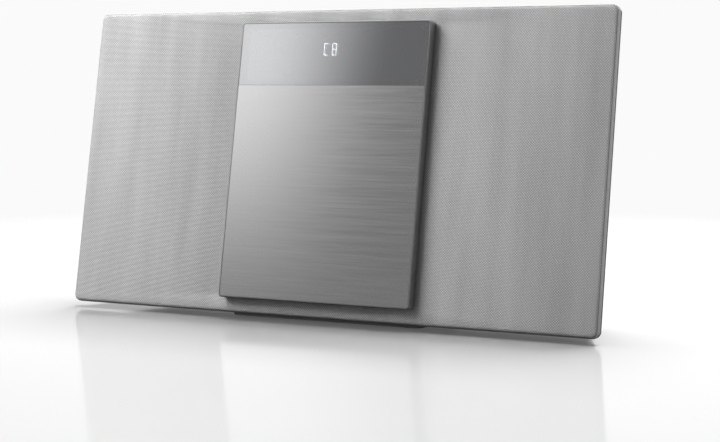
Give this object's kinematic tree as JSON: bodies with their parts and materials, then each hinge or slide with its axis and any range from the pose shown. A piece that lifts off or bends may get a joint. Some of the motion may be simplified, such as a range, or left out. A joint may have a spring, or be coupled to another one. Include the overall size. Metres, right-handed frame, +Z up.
{
  "type": "slim desktop audio system",
  "caption": "Slim leaning audio system with a cloth front, a sliding metal-faced disc door with a dark display window, loudspeakers either side and a low foot.",
  "frame": {"origin": "middle of the footprint, on the surface it stands on", "axes": "+X to the right seen from the front, +Y to the back, +Z up; the cloth front leans back 10.25 degrees"},
  "size_m": [0.408, 0.0894, 0.217],
  "materials": {
    "speaker_cloth": "woven, light grey",
    "grille_plastic": "moulded, fine texture",
    "cabinet_plastic": "moulded, fine texture",
    "bay_plastic": "satin moulded",
    "door_paint": "satin silver paint",
    "brushed_sheet": "fine horizontal brushing",
    "mirror_window": "half mirror",
    "gear_plastic": "natural acetal",
    "steel_rod": "ground",
    "motor_can": "plated can",
    "drive_belt": "matte",
    "pressed_steel": "zinc plated",
    "chassis_plastic": "moulded",
    "damper_rubber": "soft",
    "screw_steel": "plated",
    "hub_plastic": "moulded",
    "sled_metal": "die cast",
    "lens_glass": "coated",
    "circuit_board": "solder mask",
    "display_glass": "dark glass",
    "heat_sink_metal": "extruded",
    "shield_can": "tinned",
    "ferrite": "ferrite and tape",
    "capacitor_sleeve": "heat-shrink sleeve",
    "socket_plastic": "moulded",
    "socket_metal": "nickel plated",
    "surround_rubber": "half roll",
    "foot_plastic": "light satin",
    "foot_rubber": "matte",
    "key_plastic": "satin",
    "magnet_ferrite": "ferrite and steel",
    "cone_paper": "pressed paper"
  },
  "bodies": {
    "housing": {"grille_cloth": "speaker_cloth", "grille_frame": "grille_plastic", "front_baffle": "cabinet_plastic", "rear_cabinet": "cabinet_plastic", "disc_bay": "bay_plastic", "door_guide_rods": "steel_rod", "door_motor": "motor_can", "door_belt": "drive_belt", "door_drive_plate": "pressed_steel", "mech_chassis": "chassis_plastic", "mech_dampers": "damper_rubber", "mech_screws": "screw_steel", "spindle_motor": "motor_can", "sled_rods": "steel_rod", "sled_motor": "motor_can", "display_board": "circuit_board", "segment_display": "display_glass", "main_board": "circuit_board", "heat_sink": "heat_sink_metal", "tuner_module": "shield_can", "power_board": "circuit_board", "power_transformer": "ferrite", "power_capacitors": "capacitor_sleeve", "ac_inlet": "socket_plastic", "antenna_socket": "socket_metal", "audio_jack": "socket_plastic", "usb_port": "socket_metal", "button_board": "circuit_board", "speaker_surrounds": "surround_rubber", "foot_base": "foot_plastic", "rubber_feet": "foot_rubber", "case_screws": "screw_steel", "speaker_screws": "screw_steel", "speaker_basket_left": "pressed_steel", "speaker_magnet_left": "magnet_ferrite", "speaker_basket_right": "pressed_steel", "speaker_magnet_right": "magnet_ferrite"},
    "door": {"door_carrier": "door_paint", "door_sheet": "brushed_sheet", "door_window": "mirror_window", "door_rack_arm": "gear_plastic", "door_guide_arm": "gear_plastic"},
    "rack_gear": {"door_rack_gear": "gear_plastic"},
    "pulley_gear": {"door_pulley_gear": "gear_plastic"},
    "motor_pulley": {"door_motor_pulley": "gear_plastic"},
    "hub": {"disc_hub": "hub_plastic", "hub_latch_balls": "steel_rod"},
    "sled": {"pickup_sled": "sled_metal"},
    "lens": {"lens_holder": "chassis_plastic", "pickup_lens": "lens_glass"},
    "sled_gear": {"sled_gear": "gear_plastic"},
    "sled_pinion": {"sled_pinion": "gear_plastic"},
    "cone_left": {"speaker_cone_left": "cone_paper"},
    "cone_right": {"speaker_cone_right": "cone_paper"},
    "button_power": {"button_power": "key_plastic"},
    "button_source": {"button_source": "key_plastic"},
    "button_play": {"button_play": "key_plastic"},
    "button_volume_down": {"button_volume_down": "key_plastic"},
    "button_volume_up": {"button_volume_up": "key_plastic"},
    "button_door": {"button_door": "key_plastic"}
  },
  "joints": [
    {"name": "door_slide", "type": "slide", "parent": "housing", "child": "door", "axis": [1, 0, 0], "range_m": [0, 0.127]},
    {"name": "rack_gear_spin", "type": "hinge", "parent": "housing", "child": "rack_gear", "pos_m": [0.061, 0.00893, 0.16996], "axis": [0, -0.984, 0.1779], "range_deg": [0, 606.88]},
    {"name": "pulley_gear_spin", "type": "hinge", "parent": "housing", "child": "pulley_gear", "pos_m": [0.04521, 0.00995, 0.17561], "axis": [0, -0.984, 0.1779], "range_deg": [-1516.45, 0]},
    {"name": "motor_pulley_spin", "type": "hinge", "parent": "housing", "child": "motor_pulley", "pos_m": [0.01871, 0.01119, 0.1825], "axis": [0, -0.984, 0.1779], "range_deg": [-6064.3, 0]},
    {"name": "disc_spin", "type": "hinge", "parent": "housing", "child": "hub", "pos_m": [-0.009, -0.00647, 0.08484], "axis": [0, -0.984, 0.1779], "continuous": true},
    {"name": "sled_slide", "type": "slide", "parent": "housing", "child": "sled", "axis": [1, 0, 0], "range_m": [0, 0.035]},
    {"name": "sled_gear_spin", "type": "hinge", "parent": "housing", "child": "sled_gear", "pos_m": [0.0195, -0.01163, 0.0563], "axis": [0, -0.984, 0.1779], "range_deg": [-334.73, 0]},
    {"name": "sled_pinion_spin", "type": "hinge", "parent": "housing", "child": "sled_pinion", "pos_m": [0.011, -0.01163, 0.0563], "axis": [0, -0.984, 0.1779], "range_deg": [0, 802.64]},
    {"name": "lens_focus", "type": "slide", "parent": "sled", "child": "lens", "axis": [0, -0.984, 0.1779], "range_m": [-0.0005, 0.0005], "stiffness_N_per_m": 60},
    {"name": "cone_left_stroke", "type": "slide", "parent": "housing", "child": "cone_left", "axis": [0, -0.984, 0.1779], "range_m": [-0.002, 0.002], "stiffness_N_per_m": 1200},
    {"name": "cone_right_stroke", "type": "slide", "parent": "housing", "child": "cone_right", "axis": [0, -0.984, 0.1779], "range_m": [-0.002, 0.002], "stiffness_N_per_m": 1200},
    {"name": "power_press", "type": "slide", "parent": "housing", "child": "button_power", "axis": [0, 0, -1], "range_m": [0, 0.0008], "stiffness_N_per_m": 600, "springref_m": -0.0008},
    {"name": "source_press", "type": "slide", "parent": "housing", "child": "button_source", "axis": [0, 0, -1], "range_m": [0, 0.0008], "stiffness_N_per_m": 600, "springref_m": -0.0008},
    {"name": "play_press", "type": "slide", "parent": "housing", "child": "button_play", "axis": [0, 0, -1], "range_m": [0, 0.0008], "stiffness_N_per_m": 600, "springref_m": -0.0008},
    {"name": "volume_down_press", "type": "slide", "parent": "housing", "child": "button_volume_down", "axis": [0, 0, -1], "range_m": [0, 0.0008], "stiffness_N_per_m": 600, "springref_m": -0.0008},
    {"name": "volume_up_press", "type": "slide", "parent": "housing", "child": "button_volume_up", "axis": [0, 0, -1], "range_m": [0, 0.0008], "stiffness_N_per_m": 600, "springref_m": -0.0008},
    {"name": "door_press", "type": "slide", "parent": "housing", "child": "button_door", "axis": [0, 0, -1], "range_m": [0, 0.0008], "stiffness_N_per_m": 600, "springref_m": -0.0008}
  ],
  "couplings": [
    {"joint": "rack_gear_spin", "follows": "door_slide", "rad_per_m": 83.333},
    {"joint": "pulley_gear_spin", "follows": "door_slide", "rad_per_m": -208.33},
    {"joint": "motor_pulley_spin", "follows": "door_slide", "rad_per_m": -833.33},
    {"joint": "sled_gear_spin", "follows": "sled_slide", "rad_per_m": -166.67},
    {"joint": "sled_pinion_spin", "follows": "sled_slide", "rad_per_m": 400}
  ]
}
